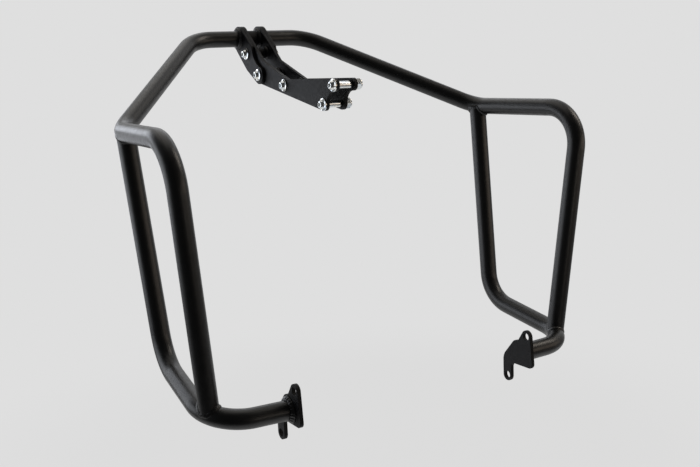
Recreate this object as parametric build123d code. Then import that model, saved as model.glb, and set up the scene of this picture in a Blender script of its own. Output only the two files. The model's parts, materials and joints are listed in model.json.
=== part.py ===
from build123d import *
from math import acos, degrees, radians, tan
import os

# Motorcycle crash bars: two bent side bars that bolt to a bracket in the middle.
# Millimetres, +X to the rider's right, +Y forward, +Z up. Sizes are worked out from
# the axis of the cross tube: "back" is behind it and "drop" is below it. The finished
# pieces are then moved so that the origin lies midway between the two frame bolts.

# Tube stock and weld sizes
tube_od = 25.4
tube_wall = 2.0
weld_leg = 4.5
saddle_weld = 2.0
cope_relief = 4.0

# Upper bar: neck, shoulder and hip corners, and the bend radius at each
neck_half_width = 98.8
neck_bend = 65.0
shoulder_half_width = 292.6
shoulder_back = 206.1
shoulder_drop = 121.0
shoulder_bend = 62.0
hip_half_width = 308.9
hip_back = 424.1
hip_drop = 121.6
hip_bend = 55.0
leg_landing = 0.342

# Lower bar: it hangs from the shoulder bend and turns in to the foot plate
strut_landing = 0.64
strut_inset = 1.3
knee_half_width = 275.0
knee_back = 256.8
knee_drop = 423.4
knee_bend = 54.0
heel_half_width = 286.5
heel_before_foot = 2.9
heel_above_foot = 1.4
heel_bend = 54.0

# Foot plate: the tube's centre on it, its holes and edges measured from that centre
foot_gap = 361.0
foot_thickness = 5.0
foot_back = 432.5
foot_drop = 459.0
foot_hole_d = 10.5
foot_upper_hole_back = 15.9
foot_upper_hole_up = 28.1
foot_upper_lobe_r = 9.0
foot_lower_hole_forward = 24.5
foot_lower_hole_down = 36.6
foot_lower_lobe_r = 8.7
foot_bottom_down = 16.4
foot_rear_lean = 5.0
foot_flank_lean = 35.0
foot_shoulder_up = 18.9
foot_shoulder_forward = 9.0
foot_shoulder_r = 10.0
foot_front_down = 8.2
foot_front_r = 20.0
foot_corner_r = 7.0
foot_throat_r = 4.0
foot_tab_r = 7.0

# Joint lug: a strap that slopes down and back from the tube, with a waist in its top edge
bracket_gap = 24.0
bracket_thickness = 5.0
lug_thickness = 5.0
strap_slope = 41.0
strap_head_r = 19.3
strap_half_width = 20.6
strap_straight = 50.0
strap_end_r = 14.0
joint_bolt_1 = 36.9
joint_bolt_2 = 87.8
waist_at = 70.4
waist_half_width = 9.9
waist_r = 39.5

# Bracket plate: middle bolt, the two frame bolts and the bends in its top edge
middle_bolt_back = 141.5
middle_bolt_drop = 73.9
upper_frame_bolt_back = 287.3
upper_frame_bolt_drop = 74.0
lower_frame_bolt_back = 257.3
lower_frame_bolt_drop = 100.6
upper_frame_lobe_r = 8.8
lower_frame_lobe_r = 9.0
frame_notch_r = 18.0
bracket_bend_along = 78.7
bracket_level_back = 153.0

# Screws, washers, lock nuts and sleeves
bolt_d = 10.0
bolt_hole_d = 11.0
bolt_tip_chamfer = 1.0
joint_bolt_length = 56.0
plate_bolt_length = 46.0
head_d = 17.5
head_rim_h = 1.2
head_crown_d = 8.6
head_round = 9.0
head_h = 5.5
socket_af = 6.0
socket_depth = 3.2
washer_od = 18.0
washer_bore = 10.5
washer_h = 1.6
nut_af = 15.0
nut_hex_h = 6.6
nut_h = 8.6
nut_collar_d = 13.6
nut_insert_d = 12.0
nut_insert_h = 2.4
thread_play = 0.1
sleeve_od = 16.0
sleeve_bore = 10.6
sleeve_weld_leg = 2.5

tube_r = tube_od / 2
bracket_inner = bracket_gap / 2
bracket_outer = bracket_inner + bracket_thickness
lug_outer = bracket_outer + lug_thickness
foot_inner = foot_gap / 2
foot_outer = foot_inner + foot_thickness


def rod(path, radius):
    """A solid round bar along a path."""
    return sweep(Plane(path @ 0, z_dir=path % 0) * Circle(radius), path=path)


def tube(path):
    """A hollow tube along a path."""
    section = Circle(tube_r) - Circle(tube_r - tube_wall)
    return sweep(Plane(path @ 0, z_dir=path % 0) * section, path=path)


def plate(outline, inner_x, thickness):
    """A flat plate whose outline is drawn as (forward, up), standing out from inner_x."""
    return extrude(Plane.YZ.offset(inner_x) * outline, thickness)


def post(radius, height):
    """An upright cylinder that stands on Z = 0."""
    return Cylinder(radius, height, align=(Align.CENTER, Align.CENTER, Align.MIN))


def dot(radius, centre):
    """A disc at a point of an outline."""
    return Pos(*centre) * Circle(radius)


def along_strap(along, across=0.0):
    """A point on the strap, measured down its length and up from its centre line."""
    point = Vector(-along, across).rotate(Axis.Z, strap_slope)
    return (point.X, point.Y)


def link(centre_a, radius_a, centre_b, radius_b):
    """Two discs and the strip between their common tangents."""
    a, b = Vector(*centre_a), Vector(*centre_b)
    line = (b - a).normalized()
    lean = degrees(acos((radius_a - radius_b) / (b - a).length))
    left, right = line.rotate(Axis.Z, lean), line.rotate(Axis.Z, -lean)
    corners = [a + left * radius_a, b + left * radius_b, b + right * radius_b, a + right * radius_a]
    strip = make_face(Polyline(*corners, close=True).edges())
    return strip + dot(radius_a, centre_a) + dot(radius_b, centre_b)


joint_points = [along_strap(joint_bolt_1), along_strap(joint_bolt_2)]
middle_point = (-middle_bolt_back, -middle_bolt_drop)
upper_frame_point = (-upper_frame_bolt_back, -upper_frame_bolt_drop)
lower_frame_point = (-lower_frame_bolt_back, -lower_frame_bolt_drop)
plate_points = [middle_point, upper_frame_point, lower_frame_point]

# Tube paths of the right-hand side
foot_centre = Vector(foot_outer, -foot_back, -foot_drop)
knee = Vector(knee_half_width, -knee_back, -knee_drop)
heel = Vector(heel_half_width, heel_before_foot - foot_back, heel_above_foot - foot_drop)
shoulder = Vector(shoulder_half_width, -shoulder_back, -shoulder_drop)
hip = Vector(hip_half_width, -hip_back, -hip_drop)
neck = Vector(neck_half_width, 0, 0)
cross_end = Vector(lug_outer, 0, 0)
shoulder_arc = FilletPolyline(neck, shoulder, hip, radius=shoulder_bend).edges()[1]
heel_arc = FilletPolyline(knee, heel, foot_centre, radius=heel_bend).edges()[1]
strut_top = shoulder_arc @ strut_landing - Vector(strut_inset, 0, 0)
leg_foot = heel_arc @ leg_landing
strut_end = strut_top + (knee - strut_top).normalized() * cope_relief
leg_end = leg_foot + (hip - leg_foot).normalized() * cope_relief
foot_end = foot_centre + (foot_centre - heel).normalized() * foot_thickness
upper_path = FilletPolyline(
    cross_end, neck, shoulder, hip, leg_end, radius=[neck_bend, shoulder_bend, hip_bend]
)
lower_path = FilletPolyline(strut_end, knee, heel, foot_end, radius=[knee_bend, heel_bend])
foot_face = Plane.YZ.offset(foot_outer)


def upper_bar():
    """The upper bar, its leg notched to sit on the lower bar."""
    return tube(upper_path) - rod(lower_path, tube_r)


def lower_bar():
    """The lower bar, notched under the shoulder and cut flat at the foot plate."""
    bar = tube(lower_path) - rod(upper_path, tube_r)
    return split(bar, bisect_by=foot_face, keep=Keep.TOP)


def foot_outline(filled=False):
    """A foot plate with an upper lobe, a sloping front shoulder and a lower tab."""
    upper = Vector(-foot_back - foot_upper_hole_back, -foot_drop + foot_upper_hole_up)
    lower = Vector(-foot_back + foot_lower_hole_forward, -foot_drop - foot_lower_hole_down)
    bottom = -foot_drop - foot_bottom_down
    top = -foot_drop + foot_shoulder_up
    tab_rear = lower.X - foot_lower_lobe_r
    front = lower.X + foot_lower_lobe_r
    rear_start = upper + Vector(-foot_upper_lobe_r, 0).rotate(Axis.Z, -foot_rear_lean)
    rear_end = rear_start.X - (rear_start.Y - bottom) * tan(radians(foot_rear_lean))
    flank_start = upper + Vector(foot_upper_lobe_r, 0).rotate(Axis.Z, foot_flank_lean)
    flank_end = flank_start.X + (flank_start.Y - top) * tan(radians(foot_flank_lean))
    corners = [
        (rear_start.X, rear_start.Y),
        (rear_end, bottom),
        (tab_rear, bottom),
        (tab_rear, lower.Y),
        (front, lower.Y),
        (front, -foot_drop - foot_front_down),
        (-foot_back + foot_shoulder_forward, top),
        (flank_end, top),
        (flank_start.X, flank_start.Y),
    ]
    radii = [0, foot_corner_r, foot_tab_r, 0, 0, foot_front_r, foot_shoulder_r, foot_throat_r, 0]
    body = make_face(FilletPolyline(*corners, radius=radii, close=True).edges())
    upper_point, lower_point = (upper.X, upper.Y), (lower.X, lower.Y)
    outline = body + dot(foot_upper_lobe_r, upper_point) + dot(foot_lower_lobe_r, lower_point)
    if filled:
        return outline
    return outline - dot(foot_hole_d / 2, upper_point) - dot(foot_hole_d / 2, lower_point)


def strap_outline():
    """The strap shared by lug and bracket plate: round the tube, then down to its end bolt."""
    middle, end = along_strap(strap_straight), along_strap(joint_bolt_2)
    head = link((0, 0), strap_head_r, middle, strap_half_width)
    return head + link(middle, strap_half_width, end, strap_end_r)


def lug_outline():
    """The strap with a waist cut into its top edge between the two joint bolts."""
    waist = dot(waist_r, along_strap(waist_at, waist_half_width + waist_r))
    return strap_outline() - waist


def notch_centre():
    """The centre of the round notch that touches both frame bolt lobes."""
    upper, lower = Vector(*upper_frame_point), Vector(*lower_frame_point)
    base = lower - upper
    upper_reach = upper_frame_lobe_r + frame_notch_r
    lower_reach = lower_frame_lobe_r + frame_notch_r
    along = (base.length**2 + upper_reach**2 - lower_reach**2) / (2 * base.length)
    out = (upper_reach**2 - along**2) ** 0.5
    point = upper + base.normalized() * along + base.normalized().rotate(Axis.Z, -90) * out
    return (point.X, point.Y)


def bracket_outline():
    """The strap carried on by a web that runs level to two lobes with a notch between them."""
    end = along_strap(joint_bolt_2)
    top = upper_frame_point[1] + upper_frame_lobe_r
    corners = [
        along_strap(strap_straight),
        along_strap(strap_straight, strap_half_width),
        along_strap(bracket_bend_along, strap_half_width),
        (-bracket_level_back, top),
        (upper_frame_point[0], top),
        upper_frame_point,
        lower_frame_point,
        end,
    ]
    web = make_face(Polyline(*corners, close=True).edges())
    lower_edge = link(end, strap_end_r, lower_frame_point, lower_frame_lobe_r)
    hollow = notch_centre()
    throat = make_face(Polyline(upper_frame_point, lower_frame_point, hollow, close=True).edges())
    throat = throat - dot(frame_notch_r, hollow)
    upper_lobe = dot(upper_frame_lobe_r, upper_frame_point)
    return strap_outline() + web + lower_edge + throat + upper_lobe


def drilled(outline, points):
    """An outline with clearance holes for the screws."""
    for point in points:
        outline = outline - dot(bolt_hole_d / 2, point)
    return outline


def across(point, x):
    """A place on the axis of a screw, with Z along +X."""
    return Plane((x, *point), x_dir=(0, 1, 0), z_dir=(1, 0, 0))


def screw(length):
    """A button-head screw: head below Z = 0, shank above it."""
    head_r, crown_r = head_d / 2, head_crown_d / 2
    rim = Polyline((0, 0), (head_r, 0), (head_r, -head_rim_h))
    dome = RadiusArc((head_r, -head_rim_h), (crown_r, -head_h), -head_round)
    crown = Polyline((crown_r, -head_h), (0, -head_h), (0, 0))
    profile = make_face([*rim.edges(), *dome.edges(), *crown.edges()])
    head = revolve(Plane.XZ * profile, Axis.Z)
    hexagon = RegularPolygon(socket_af / 2, 6, major_radius=False)
    socket = extrude(Plane.XY.offset(-head_h) * hexagon, socket_depth)
    shank = post(bolt_d / 2, length)
    tip = shank.edges().sort_by(Axis.Z)[-1]
    return head - socket + chamfer(tip, bolt_tip_chamfer)


def washer():
    """A plain washer that stands on Z = 0."""
    return post(washer_od / 2, washer_h) - post(washer_bore / 2, washer_h)


def lock_nut():
    """A hexagon nut with a collar that holds a plastic ring; its seat is at Z = 0."""
    corner_r = nut_af / 3**0.5
    bevel = corner_r - nut_af / 2
    turned = post(corner_r, nut_hex_h)
    turned = chamfer(turned.edges().sort_by(Axis.Z)[-1], bevel / 2, bevel)
    hexagon = extrude(RegularPolygon(nut_af / 2, 6, major_radius=False), nut_hex_h)
    return (hexagon & turned) + post(nut_collar_d / 2, nut_h) - nut_bore() - nut_pocket()


def nut_bore():
    """The space that the thread takes up."""
    return post(bolt_d / 2 + thread_play, nut_h)


def nut_pocket():
    """The pocket in the end of the collar."""
    return Pos(0, 0, nut_h - nut_insert_h) * post(nut_insert_d / 2, nut_insert_h)


def nut_ring():
    """The plastic locking ring that fills the pocket round the thread."""
    return nut_pocket() - nut_bore()


def sleeve():
    """A spacer tube between the bracket plates, with Z along it from its middle."""
    return Cylinder(sleeve_od / 2, bracket_gap) - Cylinder(sleeve_bore / 2, bracket_gap)


def ring_weld(radius, leg):
    """A fillet weld round a tube that stands on the plane Z = 0."""
    toe = (radius + leg, 0)
    crest = (radius + leg * 0.6, leg * 0.6)
    tip = (radius, leg)
    bead = ThreePointArc(toe, crest, tip)
    sides = Polyline(tip, (radius, 0), toe)
    return revolve(Plane.XZ * make_face([*bead.edges(), *sides.edges()]), Axis.Z)


def saddle_weld_bead(tube_end, toward, path):
    """The bead where a notched tube, aimed from its end, meets the tube along a path."""
    collar = Plane(tube_end, z_dir=toward - tube_end) * post(tube_r + saddle_weld, tube_od)
    bead = collar & rod(path, tube_r + saddle_weld)
    return bead - rod(upper_path, tube_r) - rod(lower_path, tube_r)


def foot_weld_bead():
    """The bead round the lower bar's end, kept to the face of the foot plate."""
    spread = weld_leg + foot_thickness
    inward = (foot_centre - heel).normalized()
    base = Plane(foot_centre + inward * foot_thickness, z_dir=-inward)
    cone = base * Cone(
        tube_r + spread, tube_r, spread, align=(Align.CENTER, Align.CENTER, Align.MIN)
    )
    bead = split(cone - rod(lower_path, tube_r), bisect_by=foot_face, keep=Keep.TOP)
    return bead & plate(foot_outline(filled=True), foot_outer, spread)


def at_points(piece, points, x):
    """Copies of a piece on the screw axes at some points."""
    return Compound(children=[across(point, x) * piece for point in points])


def at_stack(piece, lug_x, plate_x):
    """Copies of a piece on all the screw axes, at the lugs and at the bracket plates."""
    on_lug = [across(point, lug_x) * piece for point in joint_points]
    on_plate = [across(point, plate_x) * piece for point in plate_points]
    return Compound(children=on_lug + on_plate)


sleeve_points = [*joint_points, middle_point]
joint_head_seat = -lug_outer - washer_h
plate_head_seat = -bracket_outer - washer_h
lug_plate = plate(drilled(lug_outline(), joint_points), bracket_outer, lug_thickness)
bracket_shape = drilled(bracket_outline(), joint_points + plate_points)
bracket_plate = plate(bracket_shape, bracket_inner, bracket_thickness)
lug_seat = Plane((lug_outer, 0, 0), z_dir=(1, 0, 0))
bracket_seat = Plane((bracket_inner, 0, 0), z_dir=(-1, 0, 0))

right_side = {
    "upper_bar": upper_bar(),
    "lower_bar": lower_bar(),
    "foot_plate": plate(foot_outline(), foot_inner, foot_thickness),
    "joint_lug": lug_plate,
    "bracket_plate": bracket_plate,
    "lug_weld": lug_seat * ring_weld(tube_r, weld_leg),
    "leg_weld": saddle_weld_bead(leg_end, hip, lower_path),
    "shoulder_weld": saddle_weld_bead(strut_end, knee, upper_path),
    "foot_weld": foot_weld_bead(),
}

centre_tube = Rot(0, 90, 0) * (
    Cylinder(tube_r, bracket_gap) - Cylinder(tube_r - tube_wall, bracket_gap)
)
bracket_weld = bracket_seat * ring_weld(tube_r, weld_leg)
sleeve_bead = Pos(0, 0, -bracket_inner) * ring_weld(sleeve_od / 2, sleeve_weld_leg)
sleeve_beads = sleeve_bead + mirror(sleeve_bead, about=Plane.XY)

middle_pieces = {
    "centre_tube": centre_tube,
    "centre_tube_welds": bracket_weld + mirror(bracket_weld, about=Plane.YZ),
    "bolt_sleeves": at_points(sleeve(), sleeve_points, 0),
    "sleeve_welds": at_points(sleeve_beads, sleeve_points, 0),
    "joint_bolts": at_points(screw(joint_bolt_length), joint_points, joint_head_seat),
    "plate_bolts": at_points(screw(plate_bolt_length), plate_points, plate_head_seat),
    "washers": at_stack(washer(), joint_head_seat, plate_head_seat),
    "lock_nuts": at_stack(lock_nut(), lug_outer, bracket_outer),
    "nut_rings": at_stack(nut_ring(), lug_outer, bracket_outer),
}

# Origin midway between the frame bolts
frame_middle = (Vector(*upper_frame_point) + Vector(*lower_frame_point)) / 2
to_frame = Pos(0, -frame_middle.X, -frame_middle.Y)

nodes = dict(middle_pieces)
for name, piece in right_side.items():
    nodes["right_" + name] = piece
    nodes["left_" + name] = mirror(piece, about=Plane.YZ)

os.makedirs("parts", exist_ok=True)
for name, piece in nodes.items():
    export_step(to_frame * piece, "parts/" + name + ".step")
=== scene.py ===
# %% [markdown]
# # Motorcycle crash bars
# Two bent side bars of black steel tube meet at a long bracket in the middle. The CAD model
# is the fixed frame: it is loaded first and never moved. Everything below dresses it, so the
# notebook starts by loading it and by keeping its box, which the finished model has to match.

# %% Load the frame
import json
import math

import bmesh
import bpy
from mathutils import Matrix, Vector
from mathutils.bvhtree import BVHTree


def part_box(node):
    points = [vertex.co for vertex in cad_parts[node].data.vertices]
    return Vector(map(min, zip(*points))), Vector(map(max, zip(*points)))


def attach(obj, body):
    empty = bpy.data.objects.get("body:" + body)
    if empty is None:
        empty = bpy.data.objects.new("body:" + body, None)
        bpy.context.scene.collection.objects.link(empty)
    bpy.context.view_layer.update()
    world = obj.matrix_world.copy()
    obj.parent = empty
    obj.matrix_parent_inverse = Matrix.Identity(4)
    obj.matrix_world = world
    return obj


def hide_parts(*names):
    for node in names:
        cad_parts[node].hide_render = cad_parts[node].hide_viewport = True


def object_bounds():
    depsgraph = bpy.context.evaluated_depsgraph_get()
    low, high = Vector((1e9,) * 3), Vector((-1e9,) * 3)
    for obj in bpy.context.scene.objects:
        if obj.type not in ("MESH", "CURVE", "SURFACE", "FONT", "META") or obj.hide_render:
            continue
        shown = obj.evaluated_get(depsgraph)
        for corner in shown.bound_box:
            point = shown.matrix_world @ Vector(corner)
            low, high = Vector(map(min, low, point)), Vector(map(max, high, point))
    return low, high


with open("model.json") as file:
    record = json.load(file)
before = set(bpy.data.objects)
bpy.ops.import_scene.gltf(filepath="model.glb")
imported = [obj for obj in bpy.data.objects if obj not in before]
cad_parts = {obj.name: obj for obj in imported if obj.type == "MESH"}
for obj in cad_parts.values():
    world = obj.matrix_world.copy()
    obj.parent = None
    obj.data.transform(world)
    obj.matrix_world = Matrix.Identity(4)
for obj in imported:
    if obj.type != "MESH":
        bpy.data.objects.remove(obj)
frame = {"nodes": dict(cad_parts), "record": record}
cad_box = [list(corner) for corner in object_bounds()]
nodes = frame["nodes"]
MM = 0.001
print("loaded", len(nodes), "nodes, box", cad_box)

# %% [markdown]
# ## The camera
# The photograph looks at the bars from behind and to the left, a little above the middle, with
# a slight tilt. A lens of 50 mm on a sensor 36 mm wide gives the same perspective. Nudging a
# camera by eye takes long, so its place and its three angles, as on a tripod head, come from a
# fit to the two bars, which mirror each other. Its axes are kept, because the lamps are placed
# along the picture's own directions later.

# %% Camera
CAMERA_PLACE = Vector((-0.6958, -1.1747, 0.0425))
YAW, PITCH, ROLL = 30.93, -9.95, -2.43
LENS_MM, SENSOR_MM = 50, 36

bpy.ops.object.select_all(action="DESELECT")
bpy.ops.object.camera_add(location=CAMERA_PLACE)
camera = bpy.context.object
camera.name = "photo_camera"
camera.data.lens = LENS_MM
camera.data.sensor_width = SENSOR_MM
camera.rotation_euler = (math.radians(90 + PITCH), 0, math.radians(-YAW))
camera.rotation_euler.rotate_axis("Z", math.radians(ROLL))
axes = camera.rotation_euler.to_matrix()
PICTURE_RIGHT, PICTURE_UP, PICTURE_DEPTH = axes.col[0].copy(), axes.col[1].copy(), -axes.col[2]
bpy.context.scene.camera = camera
bpy.context.scene.view_settings.view_transform = "Standard"
print("camera looks along", tuple(round(value, 3) for value in PICTURE_DEPTH))

# %% [markdown]
# ## Three small helpers for materials
# Blender wants colours as linear light, but nobody can picture a colour from such numbers, so
# colours are written as sRGB hex, as a paint card gives them, and one function converts them. A
# second one adds a node, sets its options, fills its sockets and links them, which keeps each
# material down to a few readable lines. The third one starts a material with nothing in it.


# %% Colour and node helpers
def linear(code):
    """An sRGB hex colour as linear RGBA."""
    parts = [int(code[i:i + 2], 16) / 255 for i in (1, 3, 5)]
    light = [p / 12.92 if p <= 0.04045 else ((p + 0.055) / 1.055) ** 2.4 for p in parts]
    return (*light, 1.0)


def add(tree, kind, inputs=None, **options):
    """A node with its options set; an input is a value, or a socket to link from."""
    made = tree.nodes.new(kind)
    for name, value in options.items():
        setattr(made, name, value)
    for key, value in (inputs or {}).items():
        if isinstance(value, bpy.types.NodeSocket):
            tree.links.new(value, made.inputs[key])
        else:
            made.inputs[key].default_value = value
    return made


def blank(name):
    """A new material with an empty node tree."""
    material = bpy.data.materials.new(name)
    material.use_nodes = True
    material.node_tree.nodes.clear()
    return material, material.node_tree


print("mid grey #808080 is", round(linear("#808080")[0], 3), "in linear light")

# %% [markdown]
# ## The floor
# The photograph has one even pale grey behind and below the bars. The floor is a wide disc well
# below them, because the bars hang from their bracket and stand on nothing. It lies further back
# than they do: a pale floor close in front would mirror in the front leg, which is dark. A plain
# diffuse disc would change its grey with every lamp, so camera rays and reflections see it as
# plain grey instead. A small share of diffuse light is left in near its middle, so that a soft
# shadow stays and no edge of the disc shows.

# %% Floor
BACKGROUND = linear("#dfdfdf")
FLOOR_DROP, FLOOR_RADIUS, FLOOR_SHIFT = 0.30, 1.0, 0.45
FLOOR_SIDES = 96
SHADOW_SHARE = 0.06
SHADOW_NEAR, SHADOW_FAR = 0.45, 1.0

paper, tree = blank("matt_paper_floor")
rays = add(tree, "ShaderNodeLightPath")
seen = rays.outputs["Is Camera Ray"]
for kind in ("Is Glossy Ray", "Is Transmission Ray"):
    either = add(tree, "ShaderNodeMath", {0: seen, 1: rays.outputs[kind]}, operation="MAXIMUM")
    seen = either.outputs[0]
place = add(tree, "ShaderNodeTexCoord").outputs["Object"]
away = add(tree, "ShaderNodeVectorMath", {0: place}, operation="LENGTH")
cover = add(tree, "ShaderNodeMapRange", {
    "Value": away.outputs["Value"], "From Min": SHADOW_NEAR, "From Max": SHADOW_FAR,
    "To Min": 1 - SHADOW_SHARE, "To Max": 1.0}, interpolation_type="SMOOTHSTEP")
share = add(tree, "ShaderNodeMath", {0: seen, 1: cover.outputs["Result"]}, operation="MULTIPLY")
lit = add(tree, "ShaderNodeBsdfDiffuse", {"Color": BACKGROUND})
plain = add(tree, "ShaderNodeEmission", {"Color": BACKGROUND, "Strength": 1.0})
mixed = add(tree, "ShaderNodeMixShader", {
    0: share.outputs[0], 1: lit.outputs[0], 2: plain.outputs[0]})
add(tree, "ShaderNodeOutputMaterial", {"Surface": mixed.outputs[0]})

bpy.ops.object.select_all(action="DESELECT")
backward = Vector((PICTURE_DEPTH.x, PICTURE_DEPTH.y, 0)).normalized() * FLOOR_SHIFT
bpy.ops.mesh.primitive_circle_add(
    vertices=FLOOR_SIDES, radius=FLOOR_RADIUS, fill_type="NGON",
    location=(backward.x, backward.y, cad_box[0][2] - FLOOR_DROP))
floor = bpy.context.object
floor.name = "floor"
floor.data.materials.append(paper)
print("floor at", round(floor.location.z, 3))

# %% [markdown]
# ## The backdrop
# To the camera the world is the same grey as the floor. A black tube is a mirror that bends the
# whole room into a few stripes, so what reflections see matters more. They see the pale grey in
# a wide cone that points away from the camera and a little upwards, where a sheet of paper would
# hang. A curved sheet of mesh could hang there too, but it would stand in the way of other views,
# so the world does its work. The room falls off round the sides and is dark on the camera's side,
# which gives the tubes their dark middle.

# %% Backdrop
STUDIO_LIGHT, SIDE_LIGHT = 0.07, 0.25
SIDES_START, SIDES_FULL = -0.5, 0.3
BACKDROP_TILT = math.radians(25)
BACKDROP_EDGE, BACKDROP_FULL = math.cos(math.radians(52)), math.cos(math.radians(42))

world = bpy.data.worlds.new("pale_studio")
bpy.context.scene.world = world
world.use_nodes = True
tree = world.node_tree
tree.nodes.clear()
rays = add(tree, "ShaderNodeLightPath")
heading = add(tree, "ShaderNodeTexCoord").outputs["Generated"]
behind = add(tree, "ShaderNodeVectorMath", {0: heading, 1: PICTURE_DEPTH},
             operation="DOT_PRODUCT")
sides = add(tree, "ShaderNodeMapRange", {
    "Value": behind.outputs["Value"], "From Min": SIDES_START, "From Max": SIDES_FULL,
    "To Max": SIDE_LIGHT}, interpolation_type="SMOOTHSTEP")
upper = PICTURE_DEPTH * math.cos(BACKDROP_TILT) + PICTURE_UP * math.sin(BACKDROP_TILT)
paper_side = add(tree, "ShaderNodeVectorMath", {0: heading, 1: upper}, operation="DOT_PRODUCT")
hung = add(tree, "ShaderNodeMapRange", {
    "Value": paper_side.outputs["Value"], "From Min": BACKDROP_EDGE, "From Max": BACKDROP_FULL})
pale = add(tree, "ShaderNodeMath", {0: sides.outputs["Result"], 1: hung.outputs["Result"]},
           operation="MAXIMUM")
mirrored = add(tree, "ShaderNodeMath", {0: rays.outputs["Is Glossy Ray"], 1: pale.outputs[0]},
               operation="MULTIPLY")
seen = mirrored.outputs[0]
for kind in ("Is Camera Ray", "Is Transmission Ray"):
    either = add(tree, "ShaderNodeMath", {0: seen, 1: rays.outputs[kind]}, operation="MAXIMUM")
    seen = either.outputs[0]
room = add(tree, "ShaderNodeBackground", {"Color": BACKGROUND, "Strength": STUDIO_LIGHT})
grey = add(tree, "ShaderNodeBackground", {"Color": BACKGROUND, "Strength": 1.0})
both = add(tree, "ShaderNodeMixShader", {0: seen, 1: room.outputs[0], 2: grey.outputs[0]})
add(tree, "ShaderNodeOutputWorld", {"Surface": both.outputs[0]})
print("studio light", STUDIO_LIGHT, "at the sides", SIDE_LIGHT)

# %% [markdown]
# ## Soft studio light
# Round black tubes show where the lamps are, because each lamp draws a band of its own along
# them. One bright sky would light the bars too, but area lamps can be moved band by band. The
# cool bands at the left come from a large panel beside the bars and two smaller ones further
# back. A long panel behind and above draws the thin pale line on top, and one overhead fills. The
# weaker warm bands at the right come from a narrow strip high up, a panel beside the bars and a
# small one low down on the camera's side. A lamp is placed by how far it stands to the right, up
# and back in the picture. Its radiance is the brightness that a mirror would show, so its power
# follows from its area.

# %% Lights
COOL, COOLER, NEAR_WHITE = "#f4f8ff", "#f0f5ff", "#f6f9ff"
CREAM, WARM, WARMER = "#fff9f0", "#fff4e6", "#ffecd8"
CENTRE = (Vector(cad_box[0]) + Vector(cad_box[1])) / 2


def panel(name, place, size, radiance, colour):
    """An area lamp placed in picture directions, in metres, and aimed at the bars."""
    bpy.ops.object.select_all(action="DESELECT")
    bpy.ops.object.light_add(type="AREA")
    lamp = bpy.context.object
    lamp.name = name
    across, up, depth = place
    stand = CENTRE + PICTURE_RIGHT * across + PICTURE_UP * up + PICTURE_DEPTH * depth
    aim = (CENTRE - stand).to_track_quat("-Z", "Y")
    lamp.matrix_world = Matrix.Translation(stand) @ aim.to_matrix().to_4x4()
    lamp.data.shape = "RECTANGLE"
    lamp.data.size, lamp.data.size_y = size
    lamp.data.energy = radiance * math.pi * size[0] * size[1]
    lamp.data.color = linear(colour)[:3]
    lamp.visible_camera = False
    return lamp


lamps = [
    panel("left_panel", (-1.95, 0.0, 0.10), (2.0, 1.2), 1.75, COOL),
    panel("left_rear_panel", (-1.56, 0.80, 1.06), (0.8, 0.7), 3.7, COOLER),
    panel("rear_low_panel", (-1.23, 0.0, 1.58), (0.6, 0.6), 1.6, COOLER),
    panel("rear_top_panel", (-0.10, 1.40, 1.60), (1.6, 0.6), 1.0, NEAR_WHITE),
    panel("top_panel", (-0.45, 1.95, 0.10), (1.8, 2.0), 0.7, CREAM),
    panel("right_strip", (1.50, 1.50, 0.05), (0.4, 1.2), 6.5, WARM),
    panel("right_panel", (1.90, 0.15, -0.45), (1.7, 0.7), 1.15, WARMER),
    panel("right_low_panel", (1.35, -0.45, -1.40), (0.5, 0.4), 1.6, WARM),
]
print("lamps:", [lamp.name for lamp in lamps])

# %% [markdown]
# ## Black powder coat
# The bars are steel tube under powder coat: a plastic skin that was sprayed on dry and baked.
# It is near black and satin, and it keeps a faint orange peel of about 2 mm, so its highlights
# are broad with slightly restless edges. One flat black would look like moulded plastic, so noise
# at three real sizes drives the colour, the roughness and the bump. The flat plates look duller
# than the tubes, so they get the same recipe with a rougher skin and less shine. Noise seldom
# leaves its middle, so colour and roughness are spread over that part of its range alone.

# %% Powder coat
MOTTLE_MM, GRIT_MM = 35, 6
NOISE_LOW, NOISE_HIGH = 0.3, 0.7
PEEL_DEPTH_MM = 0.02
PLASTIC_IOR = 1.5


def powder_coat(name, colours, roughness, peel_mm, shine):
    """Baked powder coat: mottled colour, uneven satin and orange peel."""
    material, tree = blank(name)
    place = add(tree, "ShaderNodeTexCoord").outputs["Object"]
    cloud = add(tree, "ShaderNodeTexNoise", {
        "Vector": place, "Scale": 1 / (MOTTLE_MM * MM), "Detail": 4.0, "Roughness": 0.6})
    colour = add(tree, "ShaderNodeValToRGB", {"Fac": cloud.outputs["Fac"]})
    for stop, position, code in zip(colour.color_ramp.elements, (NOISE_LOW, NOISE_HIGH), colours):
        stop.position = position
        stop.color = linear(code)
    grit = add(tree, "ShaderNodeTexNoise", {
        "Vector": place, "Scale": 1 / (GRIT_MM * MM), "Detail": 3.0})
    rough = add(tree, "ShaderNodeMapRange", {
        "Value": grit.outputs["Fac"], "From Min": NOISE_LOW, "From Max": NOISE_HIGH,
        "To Min": roughness[0], "To Max": roughness[1]})
    peel = add(tree, "ShaderNodeTexNoise", {
        "Vector": place, "Scale": 1 / (peel_mm * MM), "Detail": 1.5, "Roughness": 0.45})
    bump = add(tree, "ShaderNodeBump", {
        "Height": peel.outputs["Fac"], "Strength": 0.5, "Distance": PEEL_DEPTH_MM * MM})
    coat = add(tree, "ShaderNodeBsdfPrincipled", {
        "Base Color": colour.outputs["Color"], "Roughness": rough.outputs["Result"],
        "Normal": bump.outputs["Normal"], "IOR": PLASTIC_IOR, "Specular IOR Level": shine})
    add(tree, "ShaderNodeOutputMaterial", {"Surface": coat.outputs[0]})
    return material


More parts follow.
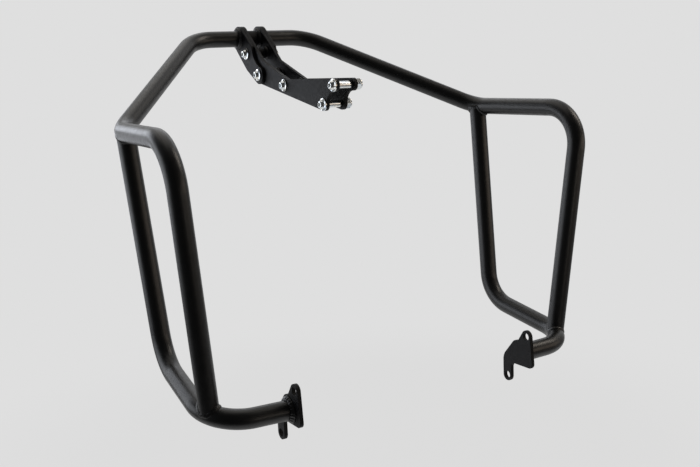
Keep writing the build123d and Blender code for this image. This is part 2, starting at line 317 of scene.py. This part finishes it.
bar_coat = powder_coat(
    "satin_black_powder_coat", ("#090909", "#0d0d0e"), (0.34, 0.42), peel_mm=2.0, shine=0.5)
bracket_coat = powder_coat(
    "matt_black_powder_coat", ("#0c0c0e", "#111114"), (0.52, 0.60), peel_mm=1.6, shine=0.2)
print("coats:", bar_coat.name, bracket_coat.name)

# %% [markdown]
# ## Bright zinc
# Screws, washers and nuts are plated with zinc and passivated, which leaves silver with a hint
# of blue and straw in patches a few millimetres wide. Plain chrome would be too clean for it. The
# plating is smooth but not polished, so its roughness is low and wanders a little, with dimples
# too fine to see one by one.

# %% Zinc plate
PATCH_MM, DIMPLE_MM, DIMPLE_DEPTH_MM = 7, 1.2, 0.02
ZINC_BLUE, ZINC_STRAW = "#dde5ec", "#ece9e0"
PATCH_LOW, PATCH_HIGH = 0.34, 0.68
ZINC_SMOOTH, ZINC_DULL = 0.12, 0.22

zinc, tree = blank("passivated_zinc_plate")
place = add(tree, "ShaderNodeTexCoord").outputs["Object"]
patch = add(tree, "ShaderNodeTexNoise", {
    "Vector": place, "Scale": 1 / (PATCH_MM * MM), "Detail": 3.0})
tint = add(tree, "ShaderNodeValToRGB", {"Fac": patch.outputs["Fac"]})
for stop, position, code in zip(
        tint.color_ramp.elements, (PATCH_LOW, PATCH_HIGH), (ZINC_BLUE, ZINC_STRAW)):
    stop.position = position
    stop.color = linear(code)
fine = add(tree, "ShaderNodeTexNoise", {
    "Vector": place, "Scale": 1 / (DIMPLE_MM * MM), "Detail": 4.0})
dull = add(tree, "ShaderNodeMapRange", {
    "Value": fine.outputs["Fac"], "From Min": NOISE_LOW, "From Max": NOISE_HIGH,
    "To Min": ZINC_SMOOTH, "To Max": ZINC_DULL})
dimple = add(tree, "ShaderNodeBump", {
    "Height": fine.outputs["Fac"], "Strength": 0.25, "Distance": DIMPLE_DEPTH_MM * MM})
plated = add(tree, "ShaderNodeBsdfPrincipled", {
    "Base Color": tint.outputs["Color"], "Metallic": 1.0, "Roughness": dull.outputs["Result"],
    "Normal": dimple.outputs["Normal"]})
add(tree, "ShaderNodeOutputMaterial", {"Surface": plated.outputs[0]})
print("fasteners:", zinc.name)

# %% [markdown]
# ## Nylon
# A lock nut grips the thread with a ring of plain off-white nylon. It is moulded, slightly waxy
# and a little cloudy.

# %% Nylon
CLOUD_MM = 3
NYLON_SHADE, NYLON_MILK = "#cfcdc2", "#dedcd2"
NYLON_IOR = 1.53

nylon, tree = blank("moulded_nylon")
place = add(tree, "ShaderNodeTexCoord").outputs["Object"]
cloud = add(tree, "ShaderNodeTexNoise", {
    "Vector": place, "Scale": 1 / (CLOUD_MM * MM), "Detail": 2.0})
milk = add(tree, "ShaderNodeValToRGB", {"Fac": cloud.outputs["Fac"]})
for stop, code in zip(milk.color_ramp.elements, (NYLON_SHADE, NYLON_MILK)):
    stop.color = linear(code)
wax = add(tree, "ShaderNodeBsdfPrincipled", {
    "Base Color": milk.outputs["Color"], "Roughness": 0.45, "IOR": NYLON_IOR})
add(tree, "ShaderNodeOutputMaterial", {"Surface": wax.outputs[0]})
print("nut rings:", nylon.name)

# %% [markdown]
# ## Dressing the CAD pieces
# The tubes are already the right shape, so they stay as they are and only take a material.
# Which one is looked up from the slot that the record gives each piece.

# %% Materials on the frame
FINISH = {"bar_coat": bar_coat, "bracket_coat": bracket_coat, "zinc": zinc, "nylon": nylon}
slot_of = {row["node"]: row["material_slot"] for row in frame["record"]["subparts"]}
for name, piece in nodes.items():
    piece.data.materials.clear()
    piece.data.materials.append(FINISH[slot_of[name]])
print("dressed", len(nodes), "pieces")

# %% [markdown]
# ## Standing in for a CAD piece
# Every new piece stands in for a node of the frame: it hides that node and rides on the one body
# there is. A node that is only to be softened or measured is copied first, because the frame's
# own meshes stay as they are. Its triangles come loose, so the copy's doubles are merged in edit
# mode.

# %% Copies and stand-ins
MERGE_GAP = 0.001 * MM


def copy_of(node, name):
    """A selected copy of a CAD node with its loose triangles merged, left in edit mode."""
    bpy.ops.object.select_all(action="DESELECT")
    piece = bpy.data.objects.new(name, nodes[node].data.copy())
    bpy.context.scene.collection.objects.link(piece)
    bpy.context.view_layer.objects.active = piece
    piece.select_set(True)
    bpy.ops.mesh.customdata_custom_splitnormals_clear()
    bpy.ops.object.mode_set(mode="EDIT")
    bpy.ops.mesh.select_all(action="SELECT")
    bpy.ops.mesh.remove_doubles(threshold=MERGE_GAP)
    return piece


def stand_in(piece, node):
    """Hide a CAD node behind a new piece, which rides on the one body."""
    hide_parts(node)
    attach(piece, "root")


print("doubles closer than", MERGE_GAP / MM, "mm are merged")

# %% [markdown]
# ## Plates with softened edges
# The lugs, bracket plates and foot plates were cut from flat steel, and powder coat never
# keeps a knife edge: it rounds each corner by half a millimetre or so, and that thin round
# catches the light. A bevel in the shader could fake it, but the mesh would still be sharp. So in
# a copy of each plate the flat triangles are dissolved into whole faces, and a Bevel modifier
# rounds what is left sharp. Washers and nuts get the same treatment with a smaller radius. The
# modifier shrinks a piece's whole round where one edge is too short for it, so the radius is the
# most that a piece gets. The bracket plates, the left foot plate and the nuts get less.

# %% Softened copies
SHARP, FLAT = math.radians(32), math.radians(0.4)
PLATE_EDGE_MM, FASTENER_EDGE_MM, EDGE_STEPS = 0.7, 0.3, 3


def softened(node, radius_mm):
    """A copy of a CAD piece with edges rounded by up to a radius, which stands in for it."""
    piece = copy_of(node, node + "_softened")
    bpy.ops.mesh.dissolve_limited(angle_limit=FLAT)
    bpy.ops.object.mode_set(mode="OBJECT")
    bpy.ops.object.shade_smooth()
    edge = piece.modifiers.new("edge", "BEVEL")
    edge.width = radius_mm * MM
    edge.segments = EDGE_STEPS
    edge.limit_method = "ANGLE"
    edge.angle_limit = SHARP
    edge.harden_normals = True
    bpy.ops.object.modifier_apply(modifier="edge")
    stand_in(piece, node)
    print(piece.name, len(piece.data.polygons), "faces")
    return piece


for side in ("left_", "right_"):
    for plate in ("bracket_plate", "joint_lug", "foot_plate"):
        softened(side + plate, PLATE_EDGE_MM).data.materials[0] = bracket_coat
for node in ("washers", "lock_nuts"):
    softened(node, FASTENER_EDGE_MM)

# %% [markdown]
# ## Where the screws and sleeves sit
# Screws, sleeves and the centre tube sit where the CAD model has them. Typed-in places would go
# wrong with the next change of the model, so they are read from it. Like solids share a node, so
# a copy of the node is separated into loose parts, and each part gives its box before it is
# deleted.


# %% Places
def loose_boxes(node):
    """The lowest and highest corner of each separate solid in a CAD node."""
    copy_of(node, "measured")
    bpy.ops.mesh.separate(type="LOOSE")
    bpy.ops.object.mode_set(mode="OBJECT")
    boxes = []
    for part in bpy.context.selected_objects:
        points = [vertex.co for vertex in part.data.vertices]
        boxes.append([Vector([pick(point[i] for point in points) for i in range(3)])
                      for pick in (min, max)])
    bpy.ops.object.delete()
    return sorted(boxes, key=lambda box: tuple(box[0]))


screw_boxes = {node: loose_boxes(node) for node in ("joint_bolts", "plate_bolts")}
sleeve_boxes = loose_boxes("bolt_sleeves")
centre_boxes = loose_boxes("centre_tube")
print({node: len(boxes) for node, boxes in screw_boxes.items()}, len(sleeve_boxes), "sleeves")

# %% [markdown]
# ## The outline of a screw
# The bracket is held by M10 button-head screws: a low dome with a hexagon socket, and a small
# sloped flange that rests on a washer. It could be put together from a sphere and cylinders, but
# such a screw is round about its axis, so half of its outline says nearly all and leaves no
# joints to hide. The outline is written in millimetres as radius and height, with the seat of the
# head at height zero, the dome below it and the shank above.

# %% Screw outline
HEAD_H, CROWN_R, CROWN_FALL = 5.5, 4.7, 0.3
DOME_R, DOME_BASE_R, DOME_STEPS = 6.5, 6.8, 8
FLANGE_R, FLANGE_EDGE, FLANGE_RISE, FLANGE_CHAMFER = 8.7, 0.25, 0.75, 0.1
SOCKET_AF, SOCKET_DEPTH, SOCKET_MOUTH_R = 6.0, 3.2, 3.6
SHANK_R, NECK_FILLET = 5.0, 0.4
THREAD_PITCH, THREAD_DEPTH, THREAD_LENGTH, RINGS_A_TURN = 1.5, 0.9, 15.0, 8


def dome_points():
    """The arc of the head from crown to flange, as (radius, height)."""
    start = Vector((CROWN_R, CROWN_FALL - HEAD_H))
    end = Vector((DOME_BASE_R, -FLANGE_EDGE - FLANGE_RISE))
    half = (end - start) / 2
    across = Vector((half.y, -half.x)).normalized()
    if across.x > 0:
        across = -across
    middle = start + half + across * math.sqrt(DOME_R ** 2 - half.length_squared)
    first = start - middle
    swing = first.angle_signed(end - middle)
    points = []
    for i in range(DOME_STEPS + 1):
        arm = first.copy()
        arm.rotate(Matrix.Rotation(-swing * i / DOME_STEPS, 2))
        points.append(tuple(middle + arm))
    return points


def screw_outline(length):
    """Half the outline of a screw, from the socket's mouth to the middle of its tip."""
    flange = [(FLANGE_R, -FLANGE_EDGE), (FLANGE_R, -FLANGE_CHAMFER), (FLANGE_R - FLANGE_CHAMFER, 0)]
    head = [(SOCKET_MOUTH_R, -HEAD_H), *dome_points(), *flange]
    thread_start = length - THREAD_LENGTH
    shank = [(SHANK_R + NECK_FILLET, 0), (SHANK_R, NECK_FILLET), (SHANK_R, thread_start)]
    rings = int(THREAD_LENGTH / THREAD_PITCH * RINGS_A_TURN)
    thread = [(SHANK_R, thread_start + THREAD_LENGTH * i / rings) for i in range(1, rings + 1)]
    return head + shank + thread + [(SHANK_R / 2, length), (0, length)]


print("the dome's arc:", [(round(r, 2), round(z, 2)) for r, z in dome_points()])

# %% [markdown]
# ## Turning the screw and cutting its socket
# The outline becomes a chain of edges, and Spin turns it about the axis, as a lathe would. That
# leaves a round hole at the mouth of the socket. A Boolean could cut the hexagon, but it leaves
# long thin faces. So the ring of edges at the mouth is extruded once in place and pulled onto a
# hexagon, extruded again to the socket's depth, closed with a face, and inset for the sunk middle
# that a forming punch leaves.

# %% Turning and socket
TURN_STEPS = 48
SELECT_GAP = 0.01
PUNCH_INSET, PUNCH_DEPTH = 0.8, 0.5
HEX_TURN = math.radians(60)


def turned(length):
    """A screw's outline spun into a shell that is open at the socket, left in edit mode."""
    bpy.ops.object.select_all(action="DESELECT")
    mesh = bpy.data.meshes.new("screw")
    outline = [(r * MM, 0, z * MM) for r, z in screw_outline(length)]
    mesh.from_pydata(outline, [(i, i + 1) for i in range(len(outline) - 1)], [])
    piece = bpy.data.objects.new("screw", mesh)
    bpy.context.scene.collection.objects.link(piece)
    bpy.context.view_layer.objects.active = piece
    piece.select_set(True)
    bpy.ops.object.mode_set(mode="EDIT")
    bpy.ops.mesh.select_mode(type="VERT")
    bpy.ops.mesh.select_all(action="SELECT")
    bpy.ops.mesh.spin(steps=TURN_STEPS, angle=math.tau, center=(0, 0, 0), axis=(0, 0, 1))
    bpy.ops.mesh.select_all(action="SELECT")
    bpy.ops.mesh.remove_doubles(threshold=MERGE_GAP)
    bpy.ops.mesh.select_all(action="DESELECT")
    return piece


def cut_socket(piece):
    """The hexagon socket, drawn from the open ring in the middle of the crown."""
    shape = bmesh.from_edit_mesh(piece.data)
    for vertex in shape.verts:
        on_top = vertex.co.z < -(HEAD_H - SELECT_GAP) * MM
        vertex.select = on_top and vertex.co.xy.length < (SOCKET_MOUTH_R + SELECT_GAP) * MM
    shape.select_flush_mode()
    bmesh.update_edit_mesh(piece.data)
    bpy.ops.mesh.extrude_edges_move()
    shape = bmesh.from_edit_mesh(piece.data)
    for vertex in shape.verts:
        if vertex.select:
            turn = math.atan2(vertex.co.y, vertex.co.x)
            from_flat = turn % HEX_TURN - HEX_TURN / 2
            reach = SOCKET_AF / 2 / math.cos(from_flat)
            vertex.co.xy = vertex.co.xy.normalized() * reach * MM
    bmesh.update_edit_mesh(piece.data)
    bpy.ops.mesh.extrude_edges_move(TRANSFORM_OT_translate={"value": (0, 0, SOCKET_DEPTH * MM)})
    bpy.ops.mesh.edge_face_add()
    bpy.ops.mesh.inset(thickness=PUNCH_INSET * MM, depth=-PUNCH_DEPTH * MM)


print("a screw is turned in", TURN_STEPS, "steps, its socket is", SOCKET_AF, "mm across flats")

# %% [markdown]
# ## Rolling the thread
# A thread is rolled last, between dies. A separate helix could be wound round the shank, but then
# the screw would be two shells. The rings near the tip are close together, so each of their
# vertices only has to move in by a depth that climbs one pitch in each turn. The thread runs out
# over its first pitch, and the tip is chamfered so that a nut finds it.

# %% Thread
TIP_CHAMFER = 1.0
CREST_SHARE, FLANK_SHARE = 0.15, 0.55
TIP_FACE_SHARE = 0.6


def thread_in(turn, height):
    """How far the thread cuts in: flat crests and roots with sloping flanks between."""
    phase = (height / THREAD_PITCH - turn / math.tau) % 1
    slope = min(phase, 1 - phase) * 2
    return THREAD_DEPTH * min(max((slope - CREST_SHARE) / FLANK_SHARE, 0), 1)


def roll_thread(piece, length):
    """Press the thread into the last millimetres of a screw in edit mode."""
    shape = bmesh.from_edit_mesh(piece.data)
    start = length - THREAD_LENGTH
    for vertex in shape.verts:
        height = vertex.co.z / MM
        if height > start and vertex.co.xy.length > TIP_FACE_SHARE * SHANK_R * MM:
            turn = math.atan2(vertex.co.y, vertex.co.x)
            run_out = min((height - start) / THREAD_PITCH, 1)
            limit = SHANK_R - max(0, height - (length - TIP_CHAMFER))
            radius = min(SHANK_R - run_out * thread_in(turn, height), limit)
            vertex.co.xy = vertex.co.xy.normalized() * radius * MM
    bmesh.update_edit_mesh(piece.data)


print("thread depth", THREAD_DEPTH, "mm at a pitch of", THREAD_PITCH, "mm")

# %% [markdown]
# ## All screws
# Each screw gets the length that its CAD solid has. Its seat lies one head height in from the
# lowest X, and its shank runs along +X. The screws of one node are joined into one object.


# %% Screws
def screw(length, seat):
    """One finished screw with its seat at a point and its shank along +X."""
    piece = turned(length)
    cut_socket(piece)
    roll_thread(piece, length)
    bpy.ops.mesh.select_all(action="SELECT")
    bpy.ops.mesh.normals_make_consistent(inside=False)
    bpy.ops.object.mode_set(mode="OBJECT")
    bpy.ops.object.shade_smooth_by_angle(angle=SHARP)
    piece.location = seat
    piece.rotation_euler = (math.pi / 2, 0, math.pi / 2)
    bpy.ops.object.transform_apply(location=True, rotation=True, scale=True)
    piece.data.materials.append(zinc)
    return piece


def joined(name, pieces, node):
    """Several like pieces as one object that stands in for a CAD node."""
    bpy.ops.object.select_all(action="DESELECT")
    for piece in pieces:
        piece.select_set(True)
    bpy.context.view_layer.objects.active = pieces[0]
    if len(pieces) > 1:
        bpy.ops.object.join()
    whole = bpy.context.view_layer.objects.active
    whole.name = name
    stand_in(whole, node)
    print(whole.name, len(whole.data.polygons), "faces")


for node, boxes in screw_boxes.items():
    made = []
    for low, high in boxes:
        seat = Vector((low.x + HEAD_H * MM, (low.y + high.y) / 2, (low.z + high.z) / 2))
        made.append(screw((high.x - seat.x) / MM, seat))
    joined(node.replace("bolts", "screws"), made, node)

# %% [markdown]
# ## Finding a seam
# A bead follows the edge where a tube ends on another piece, so that edge has to be found. Where
# the tube runs is read from its wall: the largest triangle near a weld lies on the straight outer
# wall, and all normals of that wall are square to the tube, so the cross product of two of them
# points along it. A ring of points on the wall gives its middle. Rays onto the other piece would
# fall into its bore where it is open under the tube. So the wall itself is followed towards its
# end at each turn, and halving the stretch again and again closes in on the edge. This works for
# a tube cut square and for one cut to a saddle.

# %% Seam tools
SQUARE_ENOUGH = 0.7
SECTION_UP, WALL_NEAR_MM, HALVINGS = 1.2, 0.25, 16


def surface(node):
    """A CAD piece as a tree that can be asked for nearest points."""
    mesh = nodes[node].data
    return BVHTree.FromPolygons([v.co for v in mesh.vertices],
                                [p.vertices[:] for p in mesh.polygons])


def tube_end(tube, weld, radius):
    """A point on a tube's axis beside a weld, and the direction in which the tube leaves it."""
    low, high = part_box(weld)
    middle = (Vector(low) + Vector(high)) / 2
    mesh = nodes[tube].data
    normals = mesh.corner_normals
    near = [face for face in mesh.polygons
            if min((mesh.vertices[v].co - middle).length for v in face.vertices) < 2 * radius]
    near.sort(key=lambda face: face.area, reverse=True)
    wall = near[0]
    square = normals[wall.loop_start].vector
    other = next(normals[face.loop_start].vector for face in near
                 if abs(normals[face.loop_start].vector.dot(square)) < SQUARE_ENOUGH)
    away = square.cross(other).normalized()
    if away.dot(wall.center - middle) < 0:
        away.negate()
    on_axis = mesh.vertices[wall.vertices[0]].co - square * radius
    return on_axis + away * (middle - on_axis).dot(away), away


def seam_points(tube, place, away, radius, count):
    """Points round a tube where its wall ends, each with the way out of the tube."""
    side = away.orthogonal().normalized()
    lift = away.cross(side)
    turns = [math.tau * i / count for i in range(count)]
    outs = [side * math.cos(turn) + lift * math.sin(turn) for turn in turns]
    section = place + away * SECTION_UP * radius
    ring = [tube.find_nearest(section + out * 2 * radius)[0] for out in outs]
    centre = sum(ring, Vector()) / count
    axis = centre - away * (centre - place).dot(away)
    seam = []
    for out in outs:
        wall = axis + out * radius
        on_wall, past_end = SECTION_UP * radius, -2 * radius
        for _ in range(HALVINGS):
            middle = (on_wall + past_end) / 2
            if tube.find_nearest(wall + away * middle)[3] < WALL_NEAR_MM * MM:
                on_wall = middle
            else:
                past_end = middle
        seam.append((wall + away * on_wall, out))
    return seam


print("a seam is found to within", WALL_NEAR_MM, "mm")

# %% [markdown]
# ## A rippled bead
# A weld bead is a row of small puddles that froze one on another, so it has ripples about
# 2 mm apart, bowed like coins pushed over, and it is never quite even. A smooth ring with a bump
# map would look like a rubber seal, so the ripples are real. Each bead starts as a torus with one
# ring of vertices for every half millimetre or so. A ring is laid into the corner between the
# tube and what it meets: one toe lies on the tube and one on the base, a leg away from the
# corner, and a curve bulges from toe to toe. Two more points go below the surface, so that the
# bead is closed and rooted in the steel.

# %% Bead tools
RING_GAP_MM, FACE_POINTS = 0.45, 9
RIPPLE_PITCH, RIPPLE_HEIGHT, RIPPLE_BOW = 0.62, 0.085, 0.45
BEAD_BULGE, TOE_SINK_MM = 0.30, 0.10
ROOT_DEPTH_MM, ROOT_SPREAD = 0.8, 0.4
SWAY, SWAYS_ROUND = 0.06, 3
FLUTTER, FLUTTERS_ROUND = 0.04, 8


def unevenness(run):
    """How a welder's hand swells and thins the bead at a share of the way round."""
    slow = SWAY * math.sin(math.tau * SWAYS_ROUND * run)
    quick = FLUTTER * math.sin(math.tau * FLUTTERS_ROUND * run + 1)
    return 1 + slow + quick


def bead_ring(corner, toes, swell, leg_mm, bulge, beat):
    """One ring of a bead: the rippled face from toe to toe, then two points at its root."""
    toe_tube, toe_base = toes
    crest = (toe_tube + toe_base) / 2 + swell * bulge
    points = []
    for j in range(FACE_POINTS):
        t = j / (FACE_POINTS - 1)
        off = 2 * t - 1
        smooth = toe_tube * (1 - t) ** 2 + crest * 2 * t * (1 - t) + toe_base * t ** 2
        wave = abs(math.sin(math.pi * (beat + RIPPLE_BOW * off ** 2))) - 0.5
        lift = wave * RIPPLE_HEIGHT * leg_mm * (1 - off ** 4) - TOE_SINK_MM * off ** 8
        points.append(smooth + swell * lift * MM)
    for toe in (toe_base, toe_tube):
        points.append(corner.lerp(toe, ROOT_SPREAD) - swell * ROOT_DEPTH_MM * MM)
    return points


def bead(base_node, tube_node, place, away, radius, leg_mm):
    """A rippled bead in the corner between a tube and its base."""
    base, tube = surface(base_node), surface(tube_node)
    count = round(math.tau * radius / (RING_GAP_MM * MM))
    bpy.ops.object.select_all(action="DESELECT")
    bpy.ops.mesh.primitive_torus_add(
        major_segments=count, minor_segments=FACE_POINTS + 2,
        major_radius=radius, minor_radius=leg_mm * MM / 2)
    piece = bpy.context.object
    seam = seam_points(tube, place, away, radius, count)
    length = sum((seam[i][0] - seam[i - 1][0]).length for i in range(count))
    ripples = round(length / (RIPPLE_PITCH * leg_mm * MM))
    laid = []
    run = 0.0
    for i, (corner, out) in enumerate(seam):
        ahead, behind = seam[(i + 1) % count][0], seam[i - 1][0]
        run += (corner - behind).length / length
        skin = base.find_nearest(corner + out * leg_mm * MM)[1]
        reach = skin.cross(ahead - behind).normalized()
        if reach.dot(out - away / 2) < 0:
            reach.negate()
        leg = leg_mm * MM * unevenness(run)
        toes = tube.find_nearest(corner + away * leg)[0], base.find_nearest(corner + reach * leg)[0]
        swell = (out + skin).normalized()
        laid += bead_ring(corner, toes, swell, leg_mm, BEAD_BULGE * leg, ripples * run)
    for vertex, point in zip(piece.data.vertices, laid):
        vertex.co = point
    bpy.ops.object.mode_set(mode="EDIT")
    bpy.ops.mesh.select_all(action="SELECT")
    bpy.ops.mesh.normals_make_consistent(inside=False)
    bpy.ops.object.mode_set(mode="OBJECT")
    bpy.ops.object.shade_smooth()
    piece.data.materials.append(bar_coat)
    return piece


print("a bead has a ring every", RING_GAP_MM, "mm with", FACE_POINTS, "points on its face")

# %% [markdown]
# ## Beads on the bars
# On each side the strut meets the shoulder bend, the leg meets the heel bend, the lower bar ends
# on the foot plate, and the cross tube ends on the lug. The saddles have thin beads, because two
# tubes of the same size leave hardly any corner. On the flat plates there is room for more.

# %% Bar beads
TUBE_R = 12.7 * MM
SADDLE_LEG, FOOT_LEG, LUG_LEG = 3.2, 5.4, 4.8
SIDE_WELDS = {
    "shoulder_weld": ("upper_bar", "lower_bar", SADDLE_LEG),
    "leg_weld": ("lower_bar", "upper_bar", SADDLE_LEG),
    "foot_weld": ("foot_plate", "lower_bar", FOOT_LEG),
    "lug_weld": ("joint_lug", "upper_bar", LUG_LEG),
}
for side in ("left_", "right_"):
    for weld, (base, tube, leg) in SIDE_WELDS.items():
        place, away = tube_end(side + tube, side + weld, TUBE_R)
        made = bead(side + base, side + tube, place, away, TUBE_R, leg)
        joined(side + weld + "_bead", [made], side + weld)

# %% [markdown]
# ## Beads between the bracket plates
# A short tube and three sleeves sit between the plates and are welded at both ends. They stand
# square on the plates, so their boxes give the two ends. A bead is smoother than a plate, so it
# wears the satin coat here too.

# %% Bracket beads
SLEEVE_R = 8.0 * MM
CENTRE_LEG, SLEEVE_LEG = 4.2, 2.5
for node, tube, boxes, radius, leg in (
    ("centre_tube_welds", "centre_tube", centre_boxes, TUBE_R, CENTRE_LEG),
    ("sleeve_welds", "bolt_sleeves", sleeve_boxes, SLEEVE_R, SLEEVE_LEG),
):
    made = []
    for low, high in boxes:
        for side, end, way in (("left_", low.x, 1), ("right_", high.x, -1)):
            place = Vector((end, (low.y + high.y) / 2, (low.z + high.z) / 2))
            away = Vector((way, 0, 0))
            made.append(bead(side + "bracket_plate", tube, place, away, radius, leg))
    joined(node + "_beads", made, node)
